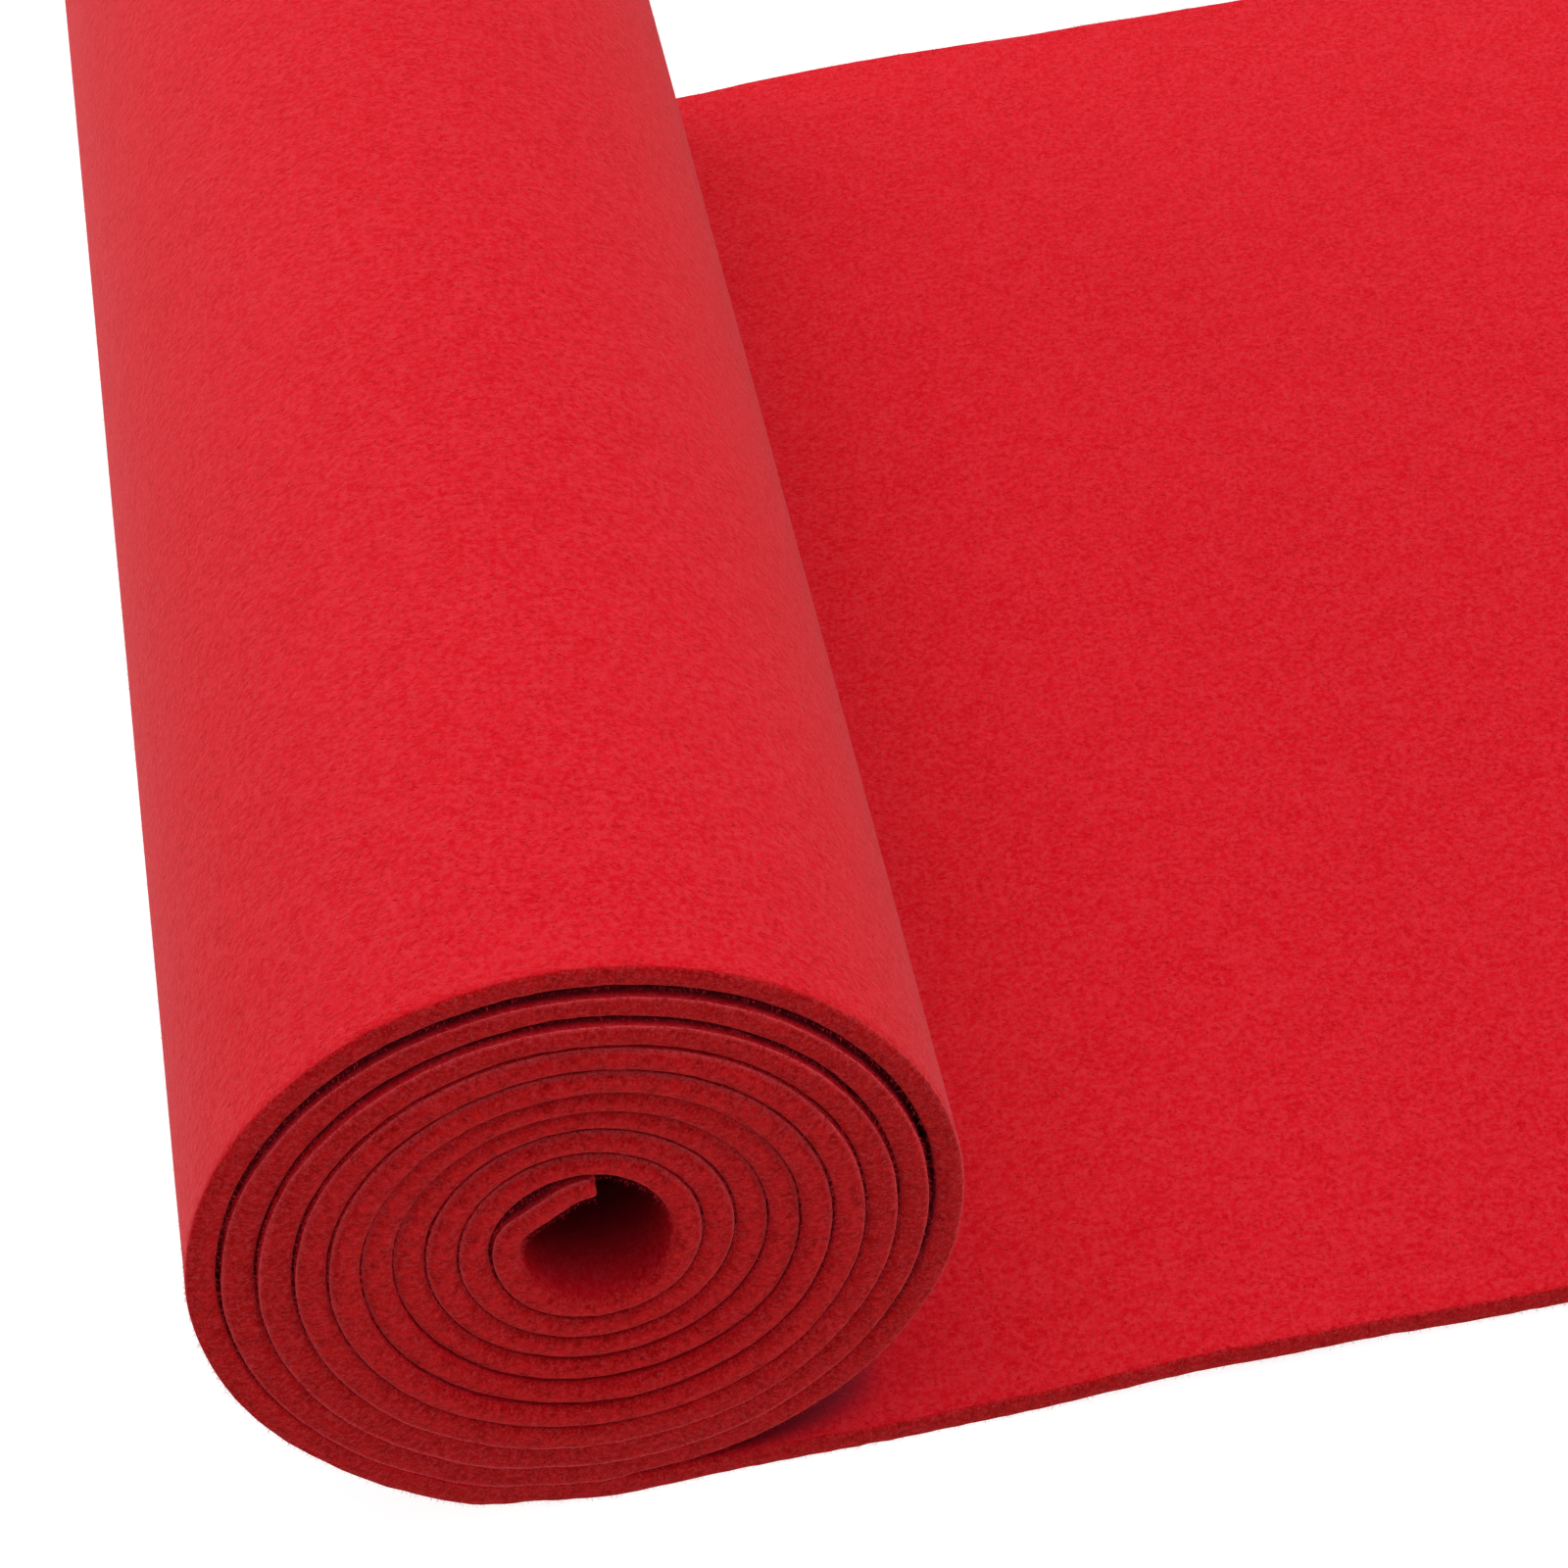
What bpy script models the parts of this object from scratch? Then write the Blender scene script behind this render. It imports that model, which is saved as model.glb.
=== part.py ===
"""A roll of thick felt, partly unrolled: one strip, wound on itself with no core, its outer end flat.

X runs along the flat end, away from the roll. Y runs along the roll, away from the end that is in
front. Z is up, and the felt lies on z = 0. The origin is under the middle of the whole thing.

The strip is followed inwards along the middle of its thickness: from the cut at the right, flat to
the lowest point of the roll, then up the left side, over the top, down the right side, and so on.
A place in the roll is given in turns, counted from that lowest point, and an angle is measured from
straight down, towards the left.
"""

from collections import namedtuple
from math import cos, degrees, pi, radians, sin

import bmesh
import bpy

MM = 0.001

# Driving dimensions, in metres
FELT_THICKNESS = 3.0 * MM
FELT_WIDTH = 250 * MM
TURN_GAP = 0.3 * MM
AXIS_HEIGHT = 41.4 * MM  # from the table to the middle of the outermost turn
FLAT_LENGTH = 190 * MM  # from under the middle of the roll to the cut
PRESSED = 0.1 * MM  # how far the roll's weight flattens its underside

WOUND_TURNS = 9.3

# Fineness of the solid
STEPS_PER_TURN = 60
BEND_STEPS = 4
FLAT_STEP = 7 * MM

FELT_RED = (0.62, 0.012, 0.022)

# How each turn lies, in millimetres: how much tighter it is wound than even turns would be, how much
# taller than wide it is, at its top and at its bottom, how far it has sagged to the right and upwards,
# and how far back its front edge lies
Turn = namedtuple("Turn", "turn tighter taller right up back")
WINDING = (
    Turn(0.00, 0.00, 0.00, 0.00, 0.00, 0.0),
    Turn(1.05, 0.00, 0.00, 0.00, 0.00, -0.1),
    Turn(1.30, 0.40, 0.00, -0.05, -0.20, -0.2),
    Turn(2.05, 0.40, 0.00, -0.05, -0.20, -0.5),
    Turn(2.30, 0.70, 0.15, 0.20, -0.35, -0.6),
    Turn(3.05, 0.70, 0.15, 0.20, -0.35, -0.8),
    Turn(3.30, 0.80, 0.30, 0.30, -0.35, -0.9),
    Turn(4.30, 0.88, 0.44, 0.22, -0.35, -1.1),
    Turn(5.50, 0.88, 0.54, 0.22, -0.35, -0.4),
    Turn(6.50, 0.88, 0.61, 0.22, -0.35, 0.3),
    Turn(7.50, 0.92, 0.73, 0.20, -0.35, 0.2),
    Turn(8.50, 0.95, 0.82, 0.20, -0.35, 0.1),
    Turn(9.25, 0.98, 0.85, 0.12, -0.35, 0.0),
)

# The heel, where the felt leaves the table at the lower left, in degrees and millimetres outwards.
# It fades out over the first turns.
Heel = namedtuple("Heel", "angle out")
HEEL = (Heel(14, 0.0), Heel(24, 0.75), Heel(38, 0.2), Heel(52, 0.0))
HEEL_TURNS = 3

# The inner end: a short tongue, bent away from the last turn and across the hole, with its tip laid
# along the turn above. Each row is a bend in degrees, its radius and the straight run after it.
Bend = namedtuple("Bend", "degrees radius run")
TONGUE = (Bend(40, 3.0 * MM, 6.0 * MM), Bend(24, 4.0 * MM, 1.6 * MM))

# How far the flat end has sprung off the table, in millimetres along it and upwards
Spring = namedtuple("Spring", "along lift")
FLAT_END = (
    Spring(0, 0.0),
    Spring(32, 0.0),
    Spring(68, 1.2),
    Spring(106, 0.4),
    Spring(128, 0.0),
    Spring(190, 0.0),
)


def between(table, where):
    """The table's row at this place, eased from one row to the next and held past both ends."""
    first, last = table[0], table[-1]
    if where <= first[0]:
        return first
    if where >= last[0]:
        return last
    for low, high in zip(table, table[1:]):
        if where <= high[0]:
            share = (where - low[0]) / (high[0] - low[0])
            eased = (1 - cos(pi * share)) / 2
            return type(first)(*(a + (b - a) * eased for a, b in zip(low, high)))


def wound_place(turn):
    """Where the middle of the felt lies after this many turns: x, z and how far back its front edge is."""
    angle = 2 * pi * turn
    lie = between(WINDING, turn)
    heel = between(HEEL, degrees(angle) % 360).out * max(0.0, 1 - turn / HEEL_TURNS)
    pitch = FELT_THICKNESS + TURN_GAP
    radius = AXIS_HEIGHT - FELT_THICKNESS / 2 - pitch * turn + (heel - lie.tighter) * MM
    x = lie.right * MM - radius * sin(angle)
    z = AXIS_HEIGHT - PRESSED + lie.up * MM - (radius + lie.taller * MM) * cos(angle)
    return x, max(z, FELT_THICKNESS / 2), lie.back * MM


def flat_places():
    """The flat outer end, from the cut to just before the roll."""
    steps = round(FLAT_LENGTH / FLAT_STEP)
    for step in range(steps, 0, -1):
        x = FLAT_LENGTH * step / steps
        yield x, FELT_THICKNESS / 2 + between(FLAT_END, x / MM).lift * MM, 0.0


def wound_places():
    steps = round(WOUND_TURNS * STEPS_PER_TURN)
    for step in range(steps + 1):
        yield wound_place(step / STEPS_PER_TURN)


def tongue_places():
    """The inner end, from the last turn to its tip: for each bend an arc and then a straight run."""
    x, z, back = wound_place(WOUND_TURNS)
    heading = 2 * pi * WOUND_TURNS
    for bend in TONGUE:
        turned = radians(bend.degrees) / BEND_STEPS
        strides = [(turned, bend.radius * turned)] * BEND_STEPS + [(0.0, bend.run)]
        for turn, stride in strides:
            heading += turn
            x -= stride * cos(heading)
            z += stride * sin(heading)
            yield x, z, back


def clear_scene():
    for old in list(bpy.data.objects):
        bpy.data.objects.remove(old)


def felt_material():
    material = bpy.data.materials.new("felt")
    material.use_nodes = True
    surface = material.node_tree.nodes["Principled BSDF"]
    surface.inputs["Base Color"].default_value = (*FELT_RED, 1.0)
    surface.inputs["Roughness"].default_value = 0.95
    surface.inputs["Metallic"].default_value = 0.0
    return material


def felt_surface():
    """The middle of the felt as an open surface: its front edge, drawn out along the roll."""
    shape = bmesh.new()
    places = [*flat_places(), *wound_places(), *tongue_places()]
    front = [shape.verts.new((x, back - FELT_WIDTH / 2, z)) for x, z, back in places]
    edges = [shape.edges.new(pair) for pair in zip(front, front[1:])]
    drawn = bmesh.ops.extrude_edge_only(shape, edges=edges)["geom"]
    rear = [item for item in drawn if isinstance(item, bmesh.types.BMVert)]
    bmesh.ops.translate(shape, verts=rear, vec=(0, FELT_WIDTH, 0))
    bmesh.ops.recalc_face_normals(shape, faces=shape.faces)
    surface = bpy.data.meshes.new("felt")
    shape.to_mesh(surface)
    shape.free()
    surface.shade_smooth()
    surface.set_sharp_from_angle(angle=radians(40))
    return surface


def add_felt():
    felt = bpy.data.objects.new("felt", felt_surface())
    collection = bpy.data.collections.new("felt_roll")
    bpy.context.scene.collection.children.link(collection)
    collection.objects.link(felt)
    felt.data.materials.append(felt_material())
    thickness = felt.modifiers.new("thickness", "SOLIDIFY")
    thickness.thickness = FELT_THICKNESS
    thickness.offset = 0
    thickness.use_even_offset = True
    xs = [vertex.co.x for vertex in felt.data.vertices]
    ys = [vertex.co.y for vertex in felt.data.vertices]
    leftmost = min(xs) - FELT_THICKNESS / 2
    felt.location = (-(leftmost + max(xs)) / 2, -(min(ys) + max(ys)) / 2, 0)


clear_scene()
add_felt()
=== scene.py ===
"""The looks of the roll of felt: one fuzzy red strip, rolled up with its outer end laid flat.

The strip is rebuilt here from the sizes and tables that the part's source has, with finer steps,
rounded cut edges and a nap of loose fibres. The axes are the part's: X along the flat end, away from
the roll, Y along the roll, away from the end in front, Z up. A place in the strip is given by how far
along it is from the cut at the right, how far across it is from the front edge, and how far through
it is from the middle of its thickness towards the outside of the roll, all in millimetres.
"""

from collections import namedtuple
from math import cos, degrees, pi, radians, sin

import bpy
import numpy as np
from mathutils import Matrix, Vector


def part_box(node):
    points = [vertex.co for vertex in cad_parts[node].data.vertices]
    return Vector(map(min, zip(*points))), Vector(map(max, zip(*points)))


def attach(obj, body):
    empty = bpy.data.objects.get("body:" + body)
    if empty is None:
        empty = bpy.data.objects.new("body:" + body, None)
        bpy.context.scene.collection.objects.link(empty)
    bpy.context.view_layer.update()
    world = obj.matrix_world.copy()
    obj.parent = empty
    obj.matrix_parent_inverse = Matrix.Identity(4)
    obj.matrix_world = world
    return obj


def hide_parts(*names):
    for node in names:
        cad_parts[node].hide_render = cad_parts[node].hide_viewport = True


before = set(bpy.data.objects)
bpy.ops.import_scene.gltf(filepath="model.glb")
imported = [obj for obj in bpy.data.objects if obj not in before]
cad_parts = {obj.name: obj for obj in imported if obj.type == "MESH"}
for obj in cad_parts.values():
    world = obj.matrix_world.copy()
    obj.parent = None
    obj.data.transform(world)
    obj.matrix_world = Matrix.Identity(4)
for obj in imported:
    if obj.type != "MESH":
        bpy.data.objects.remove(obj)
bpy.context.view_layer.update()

MM = 0.001

# Sizes of the felt, in metres, as in the part's source
FELT_THICKNESS = 3.0 * MM
FELT_WIDTH = 250 * MM
TURN_GAP = 0.3 * MM
AXIS_HEIGHT = 41.4 * MM
FLAT_LENGTH = 190 * MM
PRESSED = 0.1 * MM
WOUND_TURNS = 9.3

# How each turn lies, in millimetres, as in the part's source
Turn = namedtuple("Turn", "turn tighter taller right up back")
WINDING = (
    Turn(0.00, 0.00, 0.00, 0.00, 0.00, 0.0),
    Turn(1.05, 0.00, 0.00, 0.00, 0.00, -0.1),
    Turn(1.30, 0.40, 0.00, -0.05, -0.20, -0.2),
    Turn(2.05, 0.40, 0.00, -0.05, -0.20, -0.5),
    Turn(2.30, 0.70, 0.15, 0.20, -0.35, -0.6),
    Turn(3.05, 0.70, 0.15, 0.20, -0.35, -0.8),
    Turn(3.30, 0.80, 0.30, 0.30, -0.35, -0.9),
    Turn(4.30, 0.88, 0.44, 0.22, -0.35, -1.1),
    Turn(5.50, 0.88, 0.54, 0.22, -0.35, -0.4),
    Turn(6.50, 0.88, 0.61, 0.22, -0.35, 0.3),
    Turn(7.50, 0.92, 0.73, 0.20, -0.35, 0.2),
    Turn(8.50, 0.95, 0.82, 0.20, -0.35, 0.1),
    Turn(9.25, 0.98, 0.85, 0.12, -0.35, 0.0),
)
Bend = namedtuple("Bend", "degrees radius run")
TONGUE = (Bend(40, 3.0 * MM, 6.0 * MM), Bend(24, 4.0 * MM, 1.6 * MM))
Heel = namedtuple("Heel", "angle out")
HEEL = (Heel(14, 0.0), Heel(24, 0.75), Heel(38, 0.2), Heel(52, 0.0))
HEEL_TURNS = 3
Spring = namedtuple("Spring", "along lift")
FLAT_END = (
    Spring(0, 0.0),
    Spring(32, 0.0),
    Spring(68, 1.2),
    Spring(106, 0.4),
    Spring(128, 0.0),
    Spring(190, 0.0),
)

# The camera, fitted to the photograph's outlines. The place is from under the middle of the roll at
# its front edge.
CAMERA_PLACE = (0.00241, -0.28639, 0.37551)
CAMERA_AZIMUTH = 4.665  # degrees, clockwise from looking along Y
CAMERA_DOWN = 43.805
CAMERA_ROLL = -7.441
CAMERA_LENS = 99.35  # millimetres, on a sensor 36 mm wide

# Where the felt's own frame lies in the world
LOW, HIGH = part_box("felt")
ROLL_X = HIGH.x - FLAT_LENGTH
FRONT_Y = LOW.y - min(row.back for row in WINDING) * MM


def between(table, where):
    """The table's row at this place, eased from one row to the next and held past both ends."""
    first, last = table[0], table[-1]
    if where <= first[0]:
        return first
    if where >= last[0]:
        return last
    for low, high in zip(table, table[1:]):
        if where <= high[0]:
            share = (where - low[0]) / (high[0] - low[0])
            eased = (1 - cos(pi * share)) / 2
            return type(first)(*(a + (b - a) * eased for a, b in zip(low, high)))


def wound_place(turn):
    """Where the middle of the felt lies after this many turns: x, z and how far back its front edge is."""
    angle = 2 * pi * turn
    lie = between(WINDING, turn)
    heel = between(HEEL, degrees(angle) % 360).out * max(0.0, 1 - turn / HEEL_TURNS)
    pitch = FELT_THICKNESS + TURN_GAP
    radius = AXIS_HEIGHT - FELT_THICKNESS / 2 - pitch * turn + (heel - lie.tighter) * MM
    x = lie.right * MM - radius * sin(angle)
    z = AXIS_HEIGHT - PRESSED + lie.up * MM - (radius + lie.taller * MM) * cos(angle)
    return x, max(z, FELT_THICKNESS / 2), lie.back * MM


# The strip's own shape

WOUND_SAMPLES = 500  # for each turn
STATION_STEP = 1.1  # millimetres along the strip
BEND_SAMPLES, RUN_SAMPLES = 24, 18  # for each part of the tongue
FLAT_SAMPLE_STEP = 0.5 * MM
SMOOTHED_OVER = 5  # samples, which the felt's direction is the mean of
LEAST_ROOM = 0.03  # millimetres left between two turns where they are pressed together

# How wide the gap inside each turn looks, in millimetres: the felt swells to leave only this
Gap = namedtuple("Gap", "turn width")
GAPS = (
    Gap(0.10, 0.30),
    Gap(0.24, 0.24),
    Gap(0.30, 0.44),
    Gap(0.40, 0.85),
    Gap(0.50, 1.15),
    Gap(0.62, 0.95),
    Gap(0.75, 0.70),
    Gap(0.90, 0.45),
    Gap(1.00, 0.28),
    Gap(1.15, 0.06),
    Gap(1.25, 0.06),
    Gap(1.31, 0.20),
    Gap(1.40, 0.45),
    Gap(1.50, 0.72),
    Gap(1.62, 0.55),
    Gap(1.75, 0.28),
    Gap(2.24, 0.10),
    Gap(2.32, 0.22),
    Gap(2.50, 0.22),
    Gap(2.75, 0.16),
    Gap(3.25, 0.07),
    Gap(3.75, 0.20),
    Gap(4.25, 0.08),
    Gap(4.75, 0.10),
    Gap(5.25, 0.05),
    Gap(5.75, 0.07),
    Gap(6.25, 0.05),
    Gap(6.75, 0.10),
    Gap(7.25, 0.05),
    Gap(8.05, 0.07),
    Gap(8.30, 0.30),
)
THINNEST = -0.15  # how much a face may shrink back to leave a gap, in millimetres

# room_out and room_in are how far off the neighbouring turns are, and past_out and past_in how much
# further back their front edges lie
Strip = namedtuple("Strip", "along x z back turn room_out room_in past_out past_in ahead out")


def dense_places():
    """Many places along the middle of the felt, from the cut to the tip: x, z, back and turn."""
    for x in np.arange(FLAT_LENGTH, 0, -FLAT_SAMPLE_STEP):
        yield x, FELT_THICKNESS / 2 + between(FLAT_END, x / MM).lift * MM, 0.0, 0.0
    last = round(WOUND_TURNS * WOUND_SAMPLES)
    for sample in range(last + 1):
        turn = sample / WOUND_SAMPLES
        yield *wound_place(turn), turn
    x, z, back = wound_place(WOUND_TURNS)
    heading = 2 * pi * WOUND_TURNS
    for bend in TONGUE:
        turned = radians(bend.degrees) / BEND_SAMPLES
        curved = [(turned, bend.radius * turned)] * BEND_SAMPLES
        straight = [(0.0, bend.run / RUN_SAMPLES)] * RUN_SAMPLES
        for turn, stride in curved + straight:
            heading += turn
            x -= stride * cos(heading)
            z += stride * sin(heading)
            yield x, z, back, WOUND_TURNS


def strip_at(along):
    """The strip at these distances along it, in millimetres: its middle and its two directions."""
    measures = [np.interp(along, DENSE.along, values) for values in DENSE[1:-2]]
    ahead = np.stack([np.interp(along, DENSE.along, DENSE.ahead[:, i]) for i in (0, 1)], axis=1)
    ahead /= np.linalg.norm(ahead, axis=1, keepdims=True)
    outwards = np.stack([-ahead[:, 1], ahead[:, 0]], axis=1)
    return Strip(along, *measures, ahead, outwards)


def dense_strip():
    """The whole strip in fine steps, in millimetres. All other places along it are read from this one."""
    places = np.array(list(dense_places()))
    points = places[:, :2] / MM
    steps = np.linalg.norm(np.diff(points, axis=0), axis=1)
    along = np.concatenate([[0], np.cumsum(steps)])
    ahead = np.gradient(points, along, axis=0)
    ahead /= np.linalg.norm(ahead, axis=1, keepdims=True)
    kernel = np.ones(SMOOTHED_OVER) / SMOOTHED_OVER
    for i in (0, 1):
        padded = np.pad(ahead[:, i], SMOOTHED_OVER // 2, mode="edge")
        ahead[:, i] = np.convolve(padded, kernel, mode="valid")
    outwards = np.stack([-ahead[:, 1], ahead[:, 0]], axis=1)
    x, z = points.T
    back, turn = places[:, 2] / MM, places[:, 3]
    beside = neighbours(x, z - AXIS_HEIGHT / MM, back, turn)
    return Strip(along, x, z, back, turn, *beside, ahead, outwards)


def neighbours(x, z, back, turn):
    """How each place lies to the turn outside it and the turn inside it, where there is one."""
    wound = (turn > 0) & (turn < WOUND_TURNS)
    angle = np.unwrap(np.arctan2(-x[wound], -z[wound]))
    radius = np.hypot(x[wound], z[wound])

    def more(values, turns_on):
        """How much greater this is in the turn before or after."""
        beside = angle + turns_on * 2 * pi
        return np.interp(beside, angle, values, left=np.nan, right=np.nan) - values

    def over_all(found):
        """The same for the whole strip, with 0 where there is no turn beside it."""
        everywhere = np.zeros(len(x))
        everywhere[wound] = np.nan_to_num(found)
        return everywhere

    thickness = FELT_THICKNESS / MM
    room_out = more(radius, -1) - thickness
    room_in = -more(radius, 1) - thickness
    past_out, past_in = more(back[wound], -1), more(back[wound], 1)
    return [over_all(found) for found in (room_out, room_in, past_out, past_in)]


DENSE = dense_strip()
STRIP_LENGTH = float(DENSE.along[-1])  # millimetres
TONGUE_START = float(DENSE.along[-1 - len(TONGUE) * (BEND_SAMPLES + RUN_SAMPLES)])
WIDTH = FELT_WIDTH / MM
HALF = FELT_THICKNESS / MM / 2


def along_at(turn):
    """How far along the strip this turn begins."""
    wound = DENSE.turn > 0
    return float(np.interp(turn, DENSE.turn[wound], DENSE.along[wound]))


# Ripples in the felt: how high they are and their longest and shortest waves, in millimetres. The edge
# wanders in long waves and in short ones.
Ripple = namedtuple("Ripple", "height longest shortest seed")
GAP_RIPPLE = Ripple(0.03, 34, 7, 10)
FACE_RIPPLE = Ripple(0.025, 22, 5, 11)
FRONT_WANDER = (Ripple(0.10, 60, 9, 12), Ripple(0.05, 4.5, 2.2, 13))
REAR_WANDER = (Ripple(0.10, 60, 9, 14), Ripple(0.05, 4.5, 2.2, 15))
WANDER_REACH = 1.2  # how far in from the edge its wander fades out, in millimetres
RIPPLE_WAVES = 24


def ripple(kind, first, second):
    """A smooth random height for each pair of coordinates, in ripples of this kind."""
    dice = np.random.default_rng(kind.seed)
    total = np.zeros(np.broadcast(first, second).shape)
    for _ in range(RIPPLE_WAVES):
        way = dice.uniform(0, 2 * pi)
        length = np.exp(dice.uniform(np.log(kind.shortest), np.log(kind.longest)))
        phase = dice.uniform(0, 2 * pi)
        total += np.sin(2 * pi * (first * cos(way) + second * sin(way)) / length + phase)
    return kind.height * (total / np.sqrt(RIPPLE_WAVES))


def wander(kinds, strip, across, through):
    """How far a cut edge lies in from a straight line, or out from it."""
    long_waves, short_waves = kinds
    return ripple(long_waves, strip.along, 0 * across) + ripple(short_waves, strip.along, through * HALF)


# Where the felt is pressed on its neighbour: from and to these degrees from straight down, easing in
# over some more, and over these turns, where it eases out
PRESS_FROM, PRESS_TO, PRESS_EASE = -55, 75, 30
PRESS_TURNS = (3.1, 4.3)


def pressed(strip, outer_side):
    """How hard the felt is pressed on its neighbour, from 0 to 1: at the lower left, in the outer turns."""
    inner_turn = strip.turn + np.where(outer_side, 0, 1)
    angle = (inner_turn * 360 + 180) % 360 - 180
    from_ends = np.minimum(angle - PRESS_FROM, PRESS_TO - angle)
    around = np.clip(from_ends / PRESS_EASE, 0, 1)
    deep = np.interp(inner_turn, PRESS_TURNS, (1, 0))
    room = np.where(outer_side, strip.room_out, strip.room_in)
    return around * deep * (room > 0)


def gap_width(strip, outer_side):
    """How wide the gap on this side of the felt should look, in millimetres."""
    return np.interp(strip.turn - np.where(outer_side, 1, 0), *np.array(GAPS).T)


def surface_places(strip, across, through, relief=True):
    """World places for points of the strip: across from the front edge, and through in half thicknesses."""
    outer_side = through > 0
    room = np.where(outer_side, strip.room_out, strip.room_in)
    most = np.maximum(room - LEAST_ROOM, 0) / 2
    wanted = gap_width(strip, outer_side)
    swollen = (room - wanted) / 2 + ripple(GAP_RIPPLE, strip.along, across)
    swollen = np.clip(swollen, THINNEST * (room > 0), most)
    closed = swollen + pressed(strip, outer_side) * (most - swollen)
    height = through * (HALF + closed)
    edge = strip.back + across
    if relief:
        height = height + through * ripple(FACE_RIPPLE, strip.along, across)
        near_front = np.exp(-across / WANDER_REACH)
        near_rear = np.exp(-(WIDTH - across) / WANDER_REACH)
        edge = edge + near_front * wander(FRONT_WANDER, strip, across, through)
        edge = edge - near_rear * wander(REAR_WANDER, strip, across, through)
    sideways = strip.x + height * strip.out[..., 0]
    lift = np.maximum(strip.z + height * strip.out[..., 1], 0)
    return np.stack([ROLL_X + sideways * MM, FRONT_Y + edge * MM, lift * MM], axis=-1)


# The cut edge's section: how far in from the cut, how far through, and how much of a cut it is
Edge = namedtuple("Edge", "inset through cut")
EDGE = (
    Edge(1.40, -1.00, 0.00),
    Edge(0.62, -0.99, 0.16),
    Edge(0.34, -0.95, 0.50),
    Edge(0.17, -0.87, 0.90),
    Edge(0.09, -0.66, 1.00),
    Edge(0.02, -0.34, 1.00),
    Edge(0.00, 0.00, 1.00),
    Edge(0.02, 0.34, 1.00),
    Edge(0.09, 0.66, 1.00),
    Edge(0.17, 0.87, 0.90),
    Edge(0.34, 0.95, 0.50),
    Edge(0.62, 0.99, 0.16),
    Edge(1.40, 1.00, 0.00),
)
FACE_COLUMNS = (5, 15, 35, 65, 95, 125, 155, 185, 215, 235, 245)

# The inner turns' edges are rounder: how far in their corners lie, in millimetres, and over which turns
# that begins. Beside the hole it is only this share of what it is above and below it.
ROUNDER = 0.9
ROUNDER_TURNS = (2.4, 3.8)
ROUNDER_BESIDE_THE_HOLE = 0.35

# The least that the corners on the roll's inner side lie in, and over which turns that begins
ROUNDER_INSIDE = 0.5
ROUNDER_INSIDE_TURNS = (0.2, 0.4)

PRESSED_FLATTER = 0.8  # the share of the rounding that goes where the felt is pressed on its neighbour
EDGE_ZONE = 2  # millimetres from the edge within which it is rounded

# The third slot is the faces' material without sheen or gloss, for the faces with painted shade
FACE, CUT, SHADED_INSIDE = 0, 1, 2  # the cloth's material slots


def section():
    """The strip's section as a ring of points: across, through and cut, once around."""
    ring = [(row.inset, row.through, row.cut) for row in EDGE]
    ring += [(column, 1.0, 0.0) for column in FACE_COLUMNS]
    ring += [(WIDTH - row.inset, row.through, row.cut) for row in reversed(EDGE)]
    ring += [(column, -1.0, 0.0) for column in reversed(FACE_COLUMNS)]
    return np.array(ring)


# How the strip's two ends are rounded: millimetres from the end, and the share of the thickness there
END_ROUNDING = ((0.0, 0.5), (0.1, 0.74), (0.32, 0.9), (0.65, 0.98), (1.1, 1.0))
END_ZONE = 1.6  # millimetres from each end where the even steps begin
END_CUT_RISE, END_CUT_FADE = 1.3, 0.4  # how cut the two ends look at first, and how fast that fades


def stations():
    """Distances along the strip, close together at its rounded ends."""
    ends = np.array([row[0] for row in END_ROUNDING])
    middle = np.arange(END_ZONE, STRIP_LENGTH - END_ZONE, STATION_STEP)
    return np.concatenate([ends, middle, STRIP_LENGTH - ends[::-1]])


# How fast the painted shade gets dark a millimetre inwards from the roll's ends: between two turns that are
# as close or as far apart as GAP_WIDTHS, above the tongue and in the hole
IN_A_GAP, IN_A_WIDE_GAP, ABOVE_THE_TONGUE, IN_THE_HOLE = 0.4, 0.8, 0.5, 0.07
GAP_WIDTHS = (0.25, 0.60)
PRESSED_PALER = 0.35  # the share of the painted shade that goes where the felt is pressed on its neighbour
TONGUE_TIP_TURN = 8.56  # the tongue's tip lies along this one
COVERED_TURNS = (0.97, 1.03)  # where the outside of the felt goes under the outermost turn

# The same painted shade on the flat end, in the crevice beside the roll, by the distance from the lowest
# point in millimetres. From a little way into the crevice on, the felt has the sheen of a face in the open.
Crevice = namedtuple("Crevice", "x darker")
CREVICE_SHADE = (Crevice(6, 0.70), Crevice(14, 0.46), Crevice(22, 0.21), Crevice(30, 0.0))
CREVICE_OPENS = 13


def painted_shade_rate(strip, through):
    """How fast the painted shade gets dark inwards from the roll's ends, a millimetre: 0 on the faces in
    the open.
    """
    in_a_gap = np.interp(gap_width(strip, through > 0), GAP_WIDTHS, (IN_A_GAP, IN_A_WIDE_GAP))
    open_inside = np.where(strip.turn < WOUND_TURNS - 1.0, in_a_gap, ABOVE_THE_TONGUE)
    inside = np.where(strip.turn < TONGUE_TIP_TURN, open_inside, IN_THE_HOLE)
    inside = inside * (1 - PRESSED_PALER * pressed(strip, False))
    inside = np.where(strip.turn > 0, inside, np.interp(strip.x, *np.array(CREVICE_SHADE).T))
    covered = np.interp(strip.turn, COVERED_TURNS, (0, 1))
    outside = np.where(strip.along > TONGUE_START, ABOVE_THE_TONGUE, covered * in_a_gap)
    outside = outside * (1 - PRESSED_PALER * pressed(strip, True))
    return np.where(through > 0, outside, inside)


def mesh_object(name, points, faces):
    mesh = bpy.data.meshes.new(name)
    mesh.from_pydata(points.tolist(), [], faces)
    piece = bpy.data.objects.new(name, mesh)
    bpy.context.scene.collection.objects.link(piece)
    return piece


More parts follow.
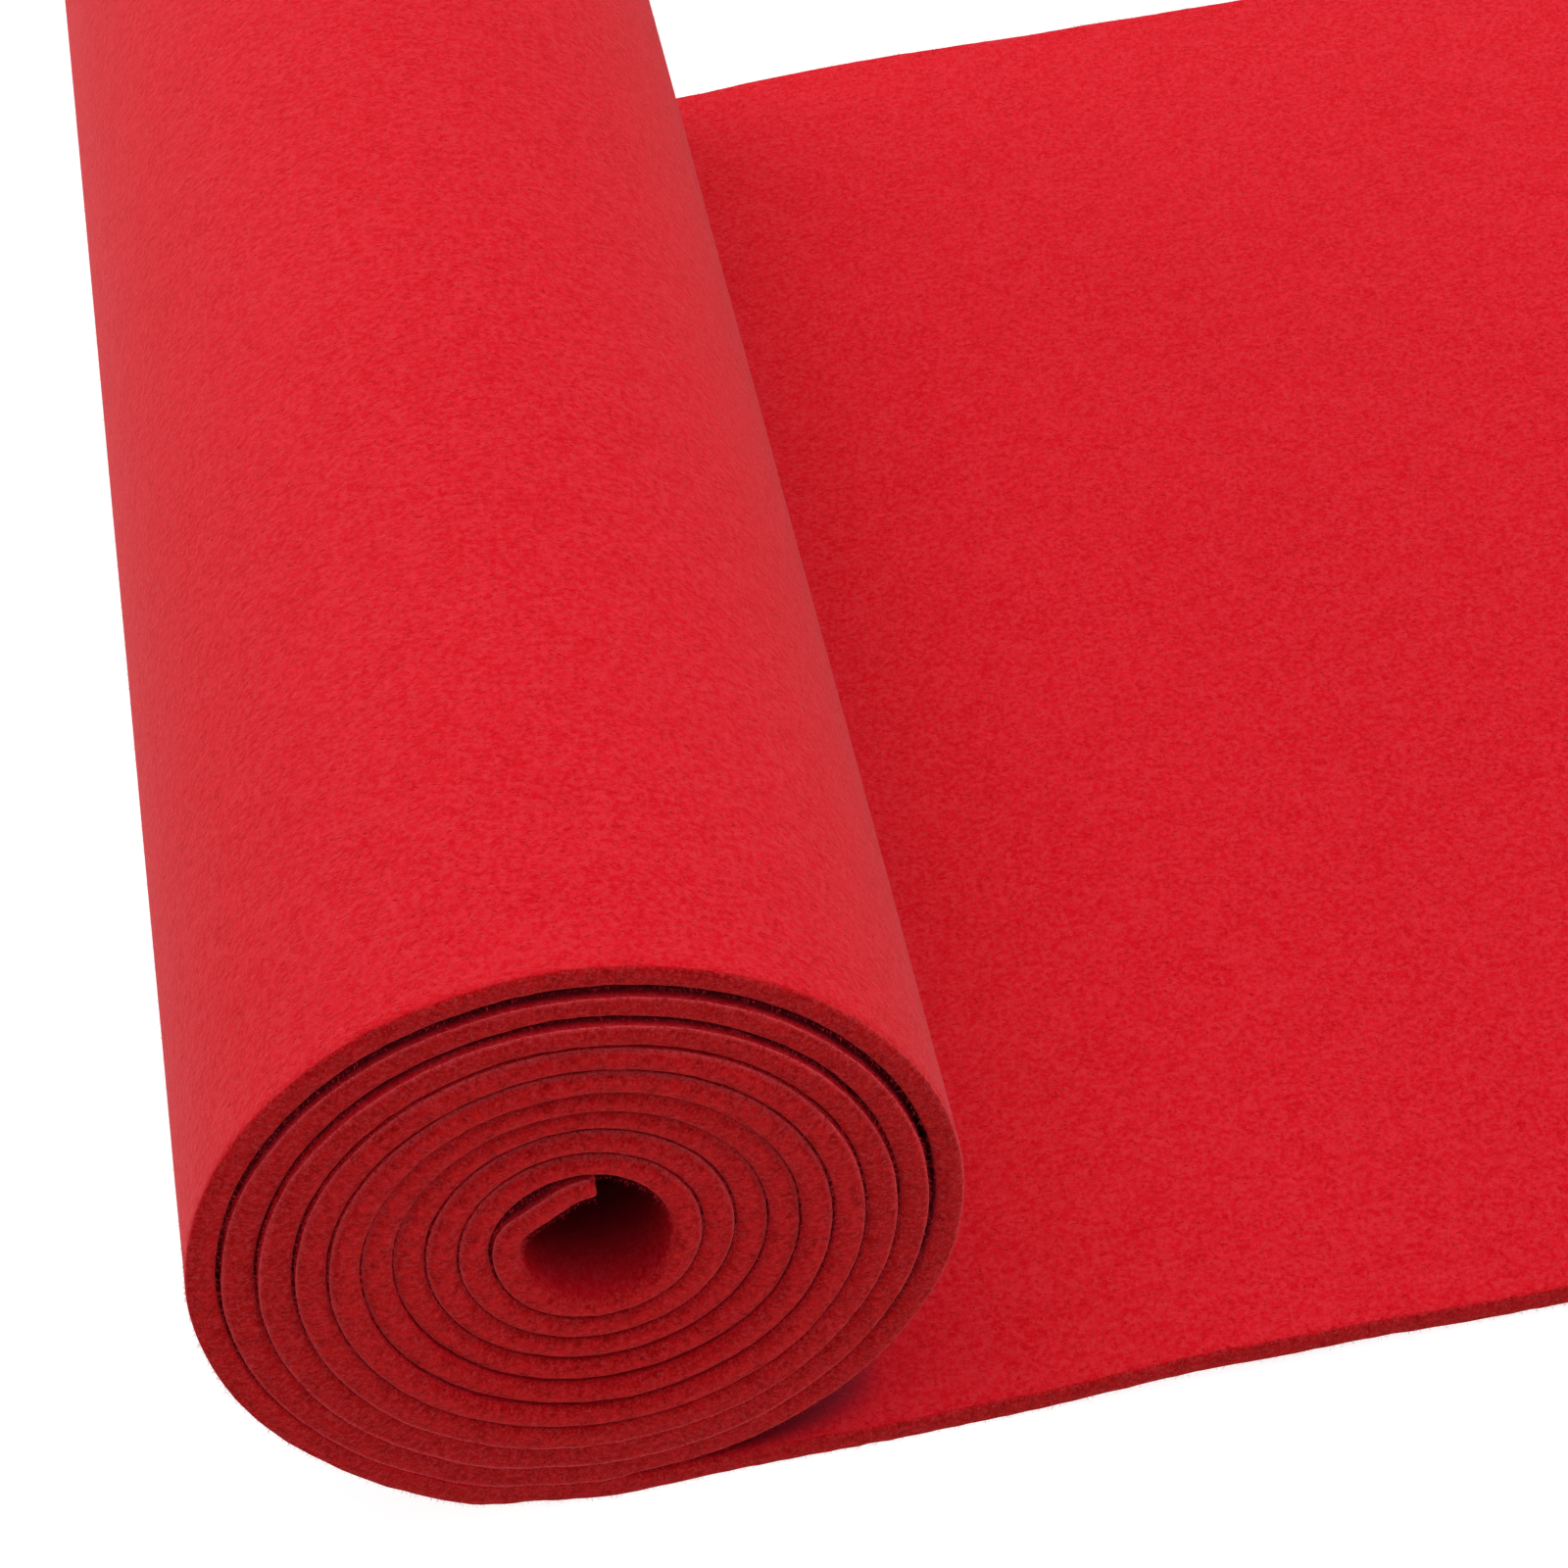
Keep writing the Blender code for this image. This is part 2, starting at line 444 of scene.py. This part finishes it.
def rounded_across(columns, ring):
    """How far across each point of the section is, with the edges rounded as much as they are here."""
    flatter = 1 - PRESSED_FLATTER * pressed(columns, ring[:, 1] > 0)
    upright = np.cos(2 * pi * columns.turn) ** 2
    around = ROUNDER_BESIDE_THE_HOLE + (1 - ROUNDER_BESIDE_THE_HOLE) * upright
    rounder = ROUNDER * np.interp(columns.turn, ROUNDER_TURNS, (0, 1)) * around
    inside = ROUNDER_INSIDE * np.interp(columns.turn, ROUNDER_INSIDE_TURNS, (0, 1))
    rounder = np.where(ring[:, 1] < 0, np.maximum(rounder, inside), rounder)
    corner = flatter * rounder * (1 - np.sqrt(1 - ring[:, 1] ** 2))
    from_front, from_rear = ring[:, 0], WIDTH - ring[:, 0]
    across = np.where(from_front < EDGE_ZONE, from_front * flatter + corner, from_front)
    return np.where(from_rear < EDGE_ZONE, WIDTH - from_rear * flatter - corner, across)


def tube_faces(rows, count):
    """Faces between rows of points that each go once around, and one face at each end."""
    faces = []
    for here in range(0, (rows - 1) * count, count):
        for i in range(count):
            j = (i + 1) % count
            faces.append((here + i, here + count + i, here + count + j, here + j))
    last = (rows - 1) * count
    faces.append(tuple(range(count)))
    faces.append(tuple(last + i for i in reversed(range(count))))
    return faces


def mark_points(piece, name, kind, values):
    """Stores a value for each point, which the materials read under this name."""
    layer = piece.data.attributes.new(name, kind, "POINT")
    field = "vector" if kind == "FLOAT_VECTOR" else "value"
    layer.data.foreach_set(field, values.astype(np.float32).ravel())


def material_slots(columns, ring, dark):
    """The material slot of each face: cut edge, in the open, or a copy without sheen where the painted
    shade darkens the felt and the sheen would show as light.
    """
    ring_cut = (ring[:, 2] + np.roll(ring[:, 2], -1)) / 2 > 0.5
    in_view = (columns.turn == 0) & (columns.x > CREVICE_OPENS)
    enclosed = np.where(in_view, 0, dark)
    enclosed = np.minimum(enclosed, np.roll(enclosed, -1, axis=1))
    enclosed = np.minimum(enclosed[:-1], enclosed[1:]) > 0
    slots = np.where(ring_cut, CUT, np.where(enclosed, SHADED_INSIDE, FACE)).ravel()
    return np.concatenate([slots, [CUT, CUT]])


def felt_cloth():
    """The strip as one closed mesh, with its own coordinates and its cut edges marked."""
    ring = section()
    along = stations()
    from_end = np.minimum(along, STRIP_LENGTH - along)[:, None]
    share = np.interp(from_end, *np.array(END_ROUNDING).T)
    columns = Strip(*(np.asarray(values)[:, None] for values in strip_at(along)))
    through = ring[:, 1] * share
    across = rounded_across(columns, ring)
    points = surface_places(columns, across, through)
    cloth = mesh_object("felt_cloth", points.reshape(-1, 3), tube_faces(len(along), len(ring)))

    end_cut = np.clip(END_CUT_RISE - from_end / END_CUT_FADE, 0, 1)
    # painted shade: how fast the colour darkens inwards between turns, in the hole and in the crevice
    dark = painted_shade_rate(columns, through)
    own = np.stack(np.broadcast_arrays(along[:, None], across, through * HALF), axis=-1)
    mark_points(cloth, "strip", "FLOAT_VECTOR", own)
    mark_points(cloth, "cut", "FLOAT", np.maximum(ring[:, 2], end_cut))
    # the painted shade's rate, which the materials read as "inside"
    mark_points(cloth, "inside", "FLOAT", dark)
    mark_points(cloth, "past", "FLOAT", np.where(through > 0, columns.past_out, columns.past_in))

    cloth.data.materials.append(face_material("felt_face", specular=0.05, sheen=0.12))
    cloth.data.materials.append(cut_material())
    # a copy of the faces' material without sheen or gloss, for the painted shade between turns, in the hole
    # and in the crevice
    cloth.data.materials.append(face_material("felt_shaded_inside", specular=0.0, sheen=0.0))
    slots = material_slots(columns, ring, dark)
    cloth.data.polygons.foreach_set("material_index", slots.astype(np.int32))
    cloth.data.shade_smooth()
    return cloth


# Loose fibres, with their sizes in millimetres

NAP_LENGTHS = (0.35, 1.15)
EDGE_LENGTHS = (0.12, 0.5)
FIBRE_WIDTHS = (0.022, 0.042)
NAP_CURL, EDGE_CURL = 0.45, 0.5  # how far a fibre bends to the side, as a share of its length
ROOT_DEPTH = 0.985  # roots lie just under the face, as a share of half the felt's thickness


def fibres(name, roots, leads, faces_to, lengths, widths, curl, seed):
    """A mesh of short bent fibres, each a ribbon that tapers from its root and lies flat on the felt."""
    dice = np.random.default_rng(seed)
    leads = leads / np.linalg.norm(leads, axis=1, keepdims=True)
    side = np.cross(leads, faces_to + dice.normal(0, 0.25, leads.shape))
    side /= np.linalg.norm(side, axis=1, keepdims=True)
    bend = side * curl * dice.uniform(-1, 1, (len(leads), 1)) * lengths[:, None]
    middle = roots + leads * lengths[:, None] * 0.5 + bend * 0.35
    tip = roots + leads * lengths[:, None] + bend
    half = side * widths[:, None] / 2
    points = np.stack([roots - half, roots + half, middle + half * 0.8, middle - half * 0.8, tip], axis=1)
    points[..., 2] = np.maximum(points[..., 2], 0)
    first = 5 * np.arange(len(roots))
    faces = [(n, n + 1, n + 2, n + 3) for n in first.tolist()]
    faces += [(n + 3, n + 2, n + 4) for n in first.tolist()]
    piece = mesh_object(name, points.reshape(-1, 3), faces)
    piece.data.shade_smooth()
    return piece


def world_way(strip, ahead, across, out):
    """Directions in the world from parts ahead along the strip, across it and out of its face."""
    flat = strip.ahead * ahead[:, None] + strip.out * out[:, None]
    return np.stack([flat[:, 0], across, flat[:, 1]], axis=1)


def nap(name, start, end, through, amount, seed):
    """Fibres that have worked loose from a face of the felt between these places along it."""
    dice = np.random.default_rng(seed)
    along = dice.uniform(start, end, amount)
    across = dice.uniform(0.3, WIDTH - 0.3, amount)
    strip = strip_at(along)
    roots = surface_places(strip, across, np.full(amount, ROOT_DEPTH * through), relief=False)
    way = dice.uniform(0, 2 * pi, amount)
    rise = np.abs(dice.normal(0.28, 0.22, amount))
    leads = world_way(strip, np.cos(way), np.sin(way), rise * through)
    out_of_face = world_way(strip, 0 * way, 0 * way, through + 0 * way)
    lengths = dice.uniform(*NAP_LENGTHS, amount) * MM
    widths = dice.uniform(*FIBRE_WIDTHS, amount) * MM
    return fibres(name, roots, leads, out_of_face, lengths, widths, NAP_CURL, seed + 1)


# What share of the edge's fibres grow on the cut, at its corners and on the faces beside it
EDGE_SHARES = (0.22, 0.28, 0.50)
LONGER_BESIDE = 1.3  # how much longer those on the faces are


def edge_fuzz(name, front, amount, seed):
    """Fibres cut short at one edge of the felt: on the cut, at its corners and on the faces beside it."""
    dice = np.random.default_rng(seed)
    along = dice.uniform(0, STRIP_LENGTH, amount)
    strip = strip_at(along)
    kind = dice.choice(3, amount, p=EDGE_SHARES)
    on_cut, at_corner, beside = kind == 0, kind == 1, kind == 2
    side = np.where(dice.random(amount) < 0.5, -1.0, 1.0)
    around = np.where(at_corner, dice.uniform(0.8, 0.97, amount), ROOT_DEPTH)
    through = np.where(on_cut, dice.uniform(-0.85, 0.85, amount), side * around)
    inset = np.select([on_cut, at_corner], [0.02, 0.12], dice.uniform(0.15, 0.9, amount))
    across = inset if front else WIDTH - inset
    roots = surface_places(strip, across, through)
    towards = -1.0 if front else 1.0
    outwards = towards * np.abs(dice.normal(0.8, 0.35, amount)) * np.where(beside, 0.6, 1)
    rising = side * np.select([on_cut, at_corner], [0, 0.35], 0.7) + dice.normal(0, 0.35, amount)
    leads = world_way(strip, dice.normal(0, 0.8, amount), outwards, rising)
    out_of_edge = world_way(strip, 0 * inset, towards + 0 * inset, side * 0.6)
    lengths = dice.uniform(*EDGE_LENGTHS, amount) * np.where(beside, LONGER_BESIDE, 1) * MM
    widths = dice.uniform(*FIBRE_WIDTHS, amount) * MM
    return fibres(name, roots, leads, out_of_edge, lengths, widths, EDGE_CURL, seed + 1)


# Materials

# Each tone is the colour in the hollows between the fibres, on the raised ones and where it is palest.
# The hollows are darker partly in the felt's own mottling and partly as painted shade.
FACE_TONES = ((0.415, 0.0005, 0.0050), (0.505, 0.0060, 0.0135), (0.515, 0.0225, 0.0330))
CUT_TONES = ((0.265, 0.0004, 0.0008), (0.437, 0.0045, 0.0055), (0.458, 0.0350, 0.0420))
CUT_MIDDLE_HIGHLIGHT = (0.58, 0.0100, 0.0130)  # painted highlight along the middle of the inner turns' cut edges, where their rounded faces turn to the light
CORNER_HIGHLIGHT_TONE = (0.66, 0.0700, 0.0800)  # the pale rims at the turns' outer corners: partly pale fuzz, partly a painted highlight where the corners catch the light
# the pits are darker partly in the felt's own specks and partly as painted shade
PIT_TONE = (0.32, 0.0003, 0.002)
PAINTED_SHADE_TONE = (0.200, 0.0085, 0.0190)  # painted shade: the colour between two turns, deep in the hole and in the crevice, where little light reaches
FIBRE_TONE = (0.60, 0.016, 0.026)
SHEEN_TINT = (1.0, 0.70, 0.70, 1.0)
FACE_SHEEN_ROUGHNESS, OTHER_SHEEN_ROUGHNESS = 0.34, 0.5
BUMP_DEPTH = 0.00025  # metres
STREAK_WAYS = ((0.3, 0), (1.3, 31), (2.4, 67))  # each turned by radians, and moved so that they differ
STREAK_SHAPE = (0.65, 4.6, 3.0)
CUT_LINE_SHAPE = (2.4, 1.0, 0.8)
HIGHLIGHT_RIM_TURNS = (0.6, 0.75)  # over which turns the pale rims with their painted highlight begin
PAINTED_SHADE_RAMP = (0.1, 1.0)  # where the painted shade begins and is full, as depth times how fast it gets dark


class Nodes:
    """A short way to write shader nodes: each call adds one node and gives back its output.

    An input is given by its name, or as _ and its number where several have the same name.
    """

    def __init__(self, material):
        self.tree = material.node_tree

    def add(self, kind, output=0, settings=None, **inputs):
        made = self.tree.nodes.new(kind)
        for name, value in (settings or {}).items():
            setattr(made, name, value)
        for name, value in inputs.items():
            socket = made.inputs[int(name[1:])] if name[0] == "_" else made.inputs[name.replace("_", " ")]
            if isinstance(value, bpy.types.NodeSocket):
                self.tree.links.new(value, socket)
            else:
                socket.default_value = value
        return made.outputs[output]

    def number(self, name):
        """A value that the mesh stores under this name for each point."""
        return self.add("ShaderNodeAttribute", output=2, settings={"attribute_name": name})

    def place(self):
        """Where on the strip this is: along, across and through, in millimetres."""
        return self.add("ShaderNodeAttribute", output=1, settings={"attribute_name": "strip"})

    def part(self, place, which):
        return self.add("ShaderNodeSeparateXYZ", output=which, Vector=place)

    def math(self, operation, first, second=0.0):
        return self.add("ShaderNodeMath", settings={"operation": operation}, _0=first, _1=second)

    def times(self, first, second):
        return self.math("MULTIPLY", first, second)

    def total(self, *weighted):
        """The sum of each value times its weight."""
        out = None
        for value, weight in weighted:
            part = self.times(value, weight)
            out = part if out is None else self.math("ADD", out, part)
        return out

    def noise(self, vector, scale, detail=2.0, rough=0.5):
        return self.add("ShaderNodeTexNoise", Vector=vector, Scale=scale, Detail=detail, Roughness=rough)

    def streaks(self, vector, turn, offset):
        """Fine streaks that run one way on the felt's face, about 1.5 mm long."""
        shift, turned = (offset, offset, 0), (0, 0, turn)
        moved = self.add("ShaderNodeMapping", Vector=vector, Location=shift, Rotation=turned)
        drawn = self.add("ShaderNodeMapping", Vector=moved, Scale=STREAK_SHAPE)
        return self.noise(drawn, 1.0, 2.0, 0.6)

    def mix(self, share, first, second):
        """The first colour with this share of the second."""
        colour = {"data_type": "RGBA"}
        return self.add("ShaderNodeMix", output=2, settings=colour, _0=share, _6=first, _7=second)

    def spread(self, value, low, high):
        """The value stretched so that low becomes 0 and high 1, held past both."""
        return self.add("ShaderNodeMapRange", _0=value, _1=low, _2=high, _3=0.0, _4=1.0)


def new_material(name, specular, sheen, sheen_roughness):
    material = bpy.data.materials.new(name)
    material.use_nodes = True
    surface = material.node_tree.nodes["Principled BSDF"]
    surface.inputs["Specular IOR Level"].default_value = specular
    surface.inputs["Sheen Weight"].default_value = sheen
    surface.inputs["Sheen Roughness"].default_value = sheen_roughness
    surface.inputs["Sheen Tint"].default_value = SHEEN_TINT
    return material, surface


def painted_shade_inside(nodes, place, colour):
    """The colour with painted shade: dark between two turns, deep in the hole and in the crevice, by how
    far in from their edges it is.
    """
    across, past = nodes.part(place, 1), nodes.number("past")
    behind_front = nodes.math("SUBTRACT", across, nodes.math("MAXIMUM", past, 0.0))
    from_rear = nodes.math("SUBTRACT", WIDTH, across)
    behind_rear = nodes.math("ADD", from_rear, nodes.math("MINIMUM", past, 0.0))
    depth = nodes.times(nodes.math("MINIMUM", behind_front, behind_rear), nodes.number("inside"))
    eased = {"interpolation_type": "SMOOTHSTEP"}
    shade = nodes.add("ShaderNodeMapRange", settings=eased, _0=depth, _1=PAINTED_SHADE_RAMP[0], _2=PAINTED_SHADE_RAMP[1])
    return nodes.mix(shade, colour, (*PAINTED_SHADE_TONE, 1))


def finish_felt(nodes, surface, colour, height, strength, roughness):
    bump = nodes.add("ShaderNodeBump", Strength=strength, Distance=BUMP_DEPTH, Height=height)
    nodes.tree.links.new(colour, surface.inputs["Base Color"])
    nodes.tree.links.new(bump, surface.inputs["Normal"])
    nodes.tree.links.new(roughness, surface.inputs["Roughness"])


def face_material(name, specular, sheen):
    """The felted faces: fibres that lie every way, small tufts, pits and broad patches."""
    material, surface = new_material(name, specular, sheen, FACE_SHEEN_ROUGHNESS)
    nodes = Nodes(material)
    place = nodes.place()
    lying = [nodes.streaks(place, turn, offset) for turn, offset in STREAK_WAYS]
    fibres_there = nodes.math("MAXIMUM", nodes.math("MAXIMUM", lying[0], lying[1]), lying[2])
    grain = nodes.noise(place, 3.6, 2.0, 0.65)
    tufts = nodes.noise(place, 1.1, 2.0, 0.55)
    patches = nodes.noise(place, 0.22, 3.0, 0.5)
    broad = nodes.noise(place, 0.03, 2.0, 0.5)
    tone = nodes.total(
        (nodes.spread(fibres_there, 0.47, 0.72), 0.24),
        (nodes.spread(grain, 0.3, 0.7), 0.24),
        (nodes.spread(tufts, 0.3, 0.7), 0.32),
        (nodes.spread(patches, 0.3, 0.7), 0.12),
        (nodes.spread(broad, 0.3, 0.7), 0.08),
    )
    # darker in the hollows: partly the felt's own mottling, partly painted shade
    raised = nodes.mix(nodes.spread(tone, 0.2, 0.8), (*FACE_TONES[0], 1), (*FACE_TONES[1], 1))
    paler = nodes.total(
        (nodes.noise(place, 3.1, 1.0, 0.5), 0.32),
        (nodes.noise(place, 1.4, 1.0, 0.5), 0.34),
        (nodes.noise(place, 0.7, 1.0, 0.5), 0.22),
        (nodes.noise(place, 0.3, 1.0, 0.5), 0.12),
    )
    pale_share = nodes.times(nodes.spread(paler, 0.42, 0.61), 0.65)
    colour = nodes.mix(pale_share, raised, (*FACE_TONES[2], 1))
    # darker pits: partly the felt's own specks, partly painted shade in them
    pits = nodes.spread(nodes.noise(place, 1.9, 1.0, 0.5), 0.36, 0.27)
    colour = nodes.mix(nodes.times(pits, 0.5), colour, (*PIT_TONE, 1))
    # painted shade between turns, in the hole and in the crevice
    colour = painted_shade_inside(nodes, place, colour)
    height = nodes.total((fibres_there, 0.8), (grain, 0.5), (tufts, 0.8), (pits, -0.5))
    roughness = nodes.add("ShaderNodeMapRange", _0=grain, _1=0.3, _2=0.7, _3=0.85, _4=1.0)
    finish_felt(nodes, surface, colour, height, 0.7, roughness)
    return material


def cut_material():
    """The cut edges: fibre ends, drawn into fine lines through the thickness, with a painted highlight
    along the middle of the inner turns' edges, and pale outer corners that are partly pale fuzz and partly
    painted highlight.
    """
    material, surface = new_material("felt_cut", 0.03, 0.04, OTHER_SHEEN_ROUGHNESS)
    nodes = Nodes(material)
    place, cut = nodes.place(), nodes.number("cut")
    drawn = nodes.add("ShaderNodeMapping", Vector=place, Scale=CUT_LINE_SHAPE)
    lines = nodes.noise(drawn, 1.0, 2.0, 0.6)
    ends = nodes.noise(place, 3.4, 2.0, 0.6)
    tufts = nodes.noise(place, 1.3, 2.0, 0.5)
    clumps = nodes.noise(place, 0.45, 1.0, 0.5)
    tone = nodes.total(
        (nodes.spread(lines, 0.36, 0.64), 0.22),
        (nodes.spread(ends, 0.36, 0.64), 0.20),
        (nodes.spread(tufts, 0.36, 0.64), 0.34),
        (nodes.spread(clumps, 0.36, 0.64), 0.24),
    )
    # darker in the hollows: partly the felt's own mottling, partly painted shade
    raised = nodes.mix(nodes.spread(tone, 0.2, 0.8), (*CUT_TONES[0], 1), (*CUT_TONES[1], 1))
    paler = nodes.total(
        (nodes.noise(place, 3.8, 1.0, 0.5), 0.55),
        (nodes.noise(place, 1.6, 1.0, 0.5), 0.45),
    )
    pale_share = nodes.times(nodes.spread(paler, 0.46, 0.68), 0.65)
    colour = nodes.mix(pale_share, raised, (*CUT_TONES[2], 1))

    along, through = nodes.part(place, 0), nodes.part(place, 2)
    # painted highlight along the middle of the inner turns' cut edges
    inner_turns = nodes.spread(along, *map(along_at, ROUNDER_TURNS))
    near_middle = nodes.spread(nodes.math("ABSOLUTE", through), 0.95 * HALF, 0.2 * HALF)
    middle_highlight = nodes.times(nodes.times(near_middle, inner_turns), nodes.spread(tone, 0.15, 1.1))
    colour = nodes.mix(nodes.times(middle_highlight, 0.62), colour, (*CUT_MIDDLE_HIGHLIGHT, 1))

    face = nodes.mix(nodes.spread(ends, 0.3, 0.7), (*FACE_TONES[0], 1), (*FACE_TONES[1], 1))
    colour = nodes.mix(cut, face, colour)
    # pale rims at the outer corners: partly pale fuzz, partly painted highlight
    outer_corner = nodes.times(nodes.spread(cut, 1.0, 0.75), nodes.spread(through, 0.0, 0.3))
    corner_highlight = nodes.times(outer_corner, nodes.spread(along, *map(along_at, HIGHLIGHT_RIM_TURNS)))
    corner_highlight = nodes.times(corner_highlight, nodes.spread(ends, 0.30, 0.55))
    colour = nodes.mix(nodes.times(corner_highlight, 0.8), colour, (*CORNER_HIGHLIGHT_TONE, 1))

    height = nodes.total((lines, 0.6), (ends, 0.6), (tufts, 0.8))
    roughness = nodes.add("ShaderNodeMapRange", _0=ends, _1=0.3, _2=0.7, _3=0.9, _4=1.0)
    # the cut edges get the same painted shade between turns and in the hole
    finish_felt(nodes, surface, painted_shade_inside(nodes, place, colour), height, 0.8, roughness)
    return material


def fibre_material():
    """Loose fibres, which catch a little more light than the felt."""
    material, surface = new_material("felt_fibre", 0.15, 0.0, OTHER_SHEEN_ROUGHNESS)
    surface.inputs["Base Color"].default_value = (*FIBRE_TONE, 1)
    surface.inputs["Roughness"].default_value = 0.8
    return material


def floor_material():
    """A floor that glows almost white by itself, so that the felt throws hardly any shadow on it."""
    material, surface = new_material("pale_floor", 0.1, 0.0, OTHER_SHEEN_ROUGHNESS)
    surface.inputs["Base Color"].default_value = (0.15, 0.15, 0.15, 1)
    surface.inputs["Roughness"].default_value = 0.9
    surface.inputs["Emission Color"].default_value = (1, 1, 1, 1)
    surface.inputs["Emission Strength"].default_value = 0.92
    return material


# The stage, in metres, with lights that look from a place towards an aim

FLOOR_REACH = 30.0
FLOOR_DROP = 0.1 * MM  # how far under the felt the floor lies
WORLD_STRENGTH = 0.2
Lamp = namedtuple("Lamp", "name place aim width height watts")
LAMPS = (
    Lamp("overhead", (0.1, 0.05, 1.3), (0, 0, 0), 2.2, 1.8, 26.5),
    Lamp("left_side", (-1.3, 0.75, 0.45), (-0.07, 0, 0.04), 1.0, 0.8, 14),
    Lamp("behind_left", (-0.75, 1.6, 0.3), (-0.1, 0, 0.03), 0.8, 0.4, 6),
    Lamp("right_side", (0.9, 0.1, 1.1), (-0.03, 0, 0.02), 1.0, 0.8, 9.5),
)


def add_floor():
    size = FLOOR_REACH
    corners = np.array([(-size, -size, 0), (size, -size, 0), (size, size, 0), (-size, size, 0)])
    floor = mesh_object("floor", corners, [(0, 1, 2, 3)])
    floor.location.z = -FLOOR_DROP
    floor.data.materials.append(floor_material())


def add_light(lamp):
    source = bpy.data.lights.new(lamp.name, "AREA")
    source.shape = "RECTANGLE"
    source.size = lamp.width
    source.size_y = lamp.height
    source.energy = lamp.watts
    light = bpy.data.objects.new(lamp.name, source)
    light.location = lamp.place
    towards = Vector(lamp.aim) - Vector(lamp.place)
    light.rotation_euler = towards.to_track_quat("-Z", "Y").to_euler()
    bpy.context.scene.collection.objects.link(light)


def add_world():
    world = bpy.data.worlds.new("studio")
    world.use_nodes = True
    backdrop = world.node_tree.nodes["Background"]
    backdrop.inputs["Color"].default_value = (1, 1, 1, 1)
    backdrop.inputs["Strength"].default_value = WORLD_STRENGTH
    bpy.context.scene.world = world


def add_camera():
    lens = bpy.data.cameras.new("photo_view")
    lens.lens = CAMERA_LENS
    lens.sensor_width = 36
    lens.sensor_fit = "HORIZONTAL"
    lens.clip_start = 0.01
    lens.clip_end = 50
    camera = bpy.data.objects.new("photo_view", lens)
    turned, down, roll = radians(CAMERA_AZIMUTH), radians(CAMERA_DOWN), radians(CAMERA_ROLL)
    ahead = Vector((sin(turned) * cos(down), cos(turned) * cos(down), -sin(down)))
    level = ahead.cross(Vector((0, 0, 1))).normalized()
    upright = level.cross(ahead)
    right = level * cos(roll) + upright * sin(roll)
    up = upright * cos(roll) - level * sin(roll)
    place = Vector((ROLL_X, FRONT_Y, 0)) + Vector(CAMERA_PLACE)
    axes = Matrix((right, up, -ahead)).transposed().to_4x4()
    camera.matrix_world = Matrix.Translation(place) @ axes
    bpy.context.scene.collection.objects.link(camera)
    bpy.context.scene.camera = camera


add_camera()
add_world()
for lamp in LAMPS:
    add_light(lamp)
add_floor()
bpy.context.scene.view_settings.view_transform = "Standard"

cloth = felt_cloth()
fluff = [
    nap("nap_roll", FLAT_LENGTH / MM, along_at(1.0), through=1.0, amount=24000, seed=101),
    nap("nap_flat", 0.0, FLAT_LENGTH / MM, through=-1.0, amount=16000, seed=103),
    edge_fuzz("fuzz_front", front=True, amount=38000, seed=105),
    edge_fuzz("fuzz_rear", front=False, amount=38000, seed=107),
]
fuzzy = fibre_material()
for piece in fluff:
    piece.data.materials.append(fuzzy)

for piece in (cloth, *fluff):
    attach(piece, "root")
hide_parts("felt")
